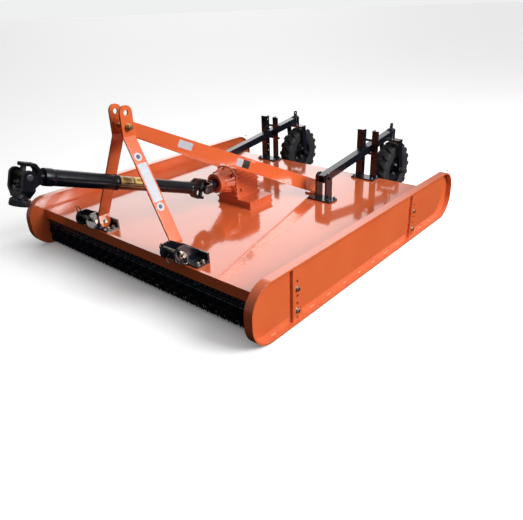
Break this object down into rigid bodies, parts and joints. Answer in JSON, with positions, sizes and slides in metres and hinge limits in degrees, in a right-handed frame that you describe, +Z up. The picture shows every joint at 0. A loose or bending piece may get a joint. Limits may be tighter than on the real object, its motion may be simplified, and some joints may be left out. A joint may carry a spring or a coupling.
{
  "type": "rotary slasher",
  "caption": "Three-point-linkage rotary slasher: square deck with side skids, chain guard, mast, gearbox, drive shaft and castor tail wheels.",
  "frame": {"origin": "middle of the bounding box at ground level, under the skids and wheels", "axes": "+Z up, -Y to the front (drive shaft and linkage), +Y to the tail wheels, +X to the machine's left as seen from behind looking to the front"},
  "size_m": [1.87, 2.816, 0.949],
  "materials": {
    "paint_orange": "gloss",
    "paint_black": "gloss",
    "guard_plastic": "satin",
    "tyre": "matte",
    "zinc": "satin",
    "steel_dark": "satin"
  },
  "bodies": {
    "deck": {"deck_pan": "paint_orange", "skid_left": "paint_orange", "skid_right": "paint_orange", "hbar_front_left": "paint_orange", "hbar_front_right": "paint_orange", "hbar_rear_left": "paint_orange", "hbar_rear_right": "paint_orange", "chain_front": "paint_black", "chain_rear": "paint_black", "mast_left": "paint_orange", "mast_right": "paint_orange", "stay_left": "paint_orange", "stay_right": "paint_orange", "mast_bolt": "zinc", "hitch_left": "paint_black", "hitch_right": "paint_black", "hitch_pin_left": "zinc", "hitch_pin_right": "zinc", "gearbox_base": "paint_orange", "gearbox_case": "paint_orange", "input_hub": "paint_orange", "arm_pivot_left": "paint_black", "arm_pivot_right": "paint_black", "arm_guide_left": "paint_black", "arm_guide_right": "paint_black", "pto_yoke_rear": "paint_black"},
    "rotor": {"rotor_hub": "steel_dark"},
    "blade_a": {"blade_a": "steel_dark"},
    "blade_b": {"blade_b": "steel_dark"},
    "arm_left": {"arm_left": "paint_black"},
    "castor_left": {"fork_left": "paint_black"},
    "wheel_left": {"wheel_rim_left": "paint_black", "tyre_left": "tyre"},
    "arm_right": {"arm_right": "paint_black"},
    "castor_right": {"fork_right": "paint_black"},
    "wheel_right": {"wheel_rim_right": "paint_black", "tyre_right": "tyre"},
    "pto_rear_cross": {"pto_cross_rear": "paint_black"},
    "pto_shaft": {"pto_inner": "guard_plastic"},
    "pto_sleeve": {"pto_outer": "guard_plastic"},
    "pto_front_cross": {"pto_cross_front": "paint_black"},
    "pto_end_yoke": {"pto_yoke_front": "paint_black"}
  },
  "joints": [
    {"name": "rotor_spin", "type": "hinge", "parent": "deck", "child": "rotor", "pos_m": [0, 0.00895, 0.1], "axis": [0, 0, 1], "continuous": true},
    {"name": "blade_a_swing", "type": "hinge", "parent": "rotor", "child": "blade_a", "pos_m": [0.45, 0.00895, 0.08], "axis": [0, 0, 1], "range_deg": [-150, 150]},
    {"name": "blade_b_swing", "type": "hinge", "parent": "rotor", "child": "blade_b", "pos_m": [-0.45, 0.00895, 0.08], "axis": [0, 0, 1], "range_deg": [-150, 150]},
    {"name": "arm_left_lift", "type": "hinge", "parent": "deck", "child": "arm_left", "pos_m": [-0.428, 0.31895, 0.37], "axis": [1, 0, 0], "range_deg": [-0.4, 1.9]},
    {"name": "castor_left_swivel", "type": "hinge", "parent": "arm_left", "child": "castor_left", "pos_m": [-0.428, 1.16795, 0.46], "axis": [0, 0, 1], "continuous": true},
    {"name": "wheel_left_spin", "type": "hinge", "parent": "castor_left", "child": "wheel_left", "pos_m": [-0.428, 1.20795, 0.2], "axis": [1, 0, 0], "continuous": true},
    {"name": "arm_right_lift", "type": "hinge", "parent": "deck", "child": "arm_right", "pos_m": [0.428, 0.31895, 0.37], "axis": [1, 0, 0], "range_deg": [-0.4, 1.9]},
    {"name": "castor_right_swivel", "type": "hinge", "parent": "arm_right", "child": "castor_right", "pos_m": [0.428, 1.16795, 0.46], "axis": [0, 0, 1], "continuous": true},
    {"name": "wheel_right_spin", "type": "hinge", "parent": "castor_right", "child": "wheel_right", "pos_m": [0.428, 1.20795, 0.2], "axis": [1, 0, 0], "continuous": true},
    {"name": "shaft_lift", "type": "hinge", "parent": "deck", "child": "pto_rear_cross", "pos_m": [0, -0.31705, 0.394], "axis": [-1, 0, 0], "range_deg": [-28, 6]},
    {"name": "shaft_swing", "type": "hinge", "parent": "pto_rear_cross", "child": "pto_shaft", "pos_m": [0, -0.31705, 0.394], "axis": [0, 0.3256, 0.9455], "range_deg": [-8, 8]},
    {"name": "shaft_slide", "type": "slide", "parent": "pto_shaft", "child": "pto_sleeve", "axis": [0, -0.9455, 0.3256], "range_m": [-0.07, 0.12]},
    {"name": "end_swing", "type": "hinge", "parent": "pto_sleeve", "child": "pto_front_cross", "pos_m": [0, -1.32403, 0.74073], "axis": [0, 0.3256, 0.9455], "range_deg": [-15, 15]},
    {"name": "end_fold", "type": "hinge", "parent": "pto_front_cross", "child": "pto_end_yoke", "pos_m": [0, -1.32403, 0.74073], "axis": [-1, 0, 0], "range_deg": [0, 110]}
  ]
}
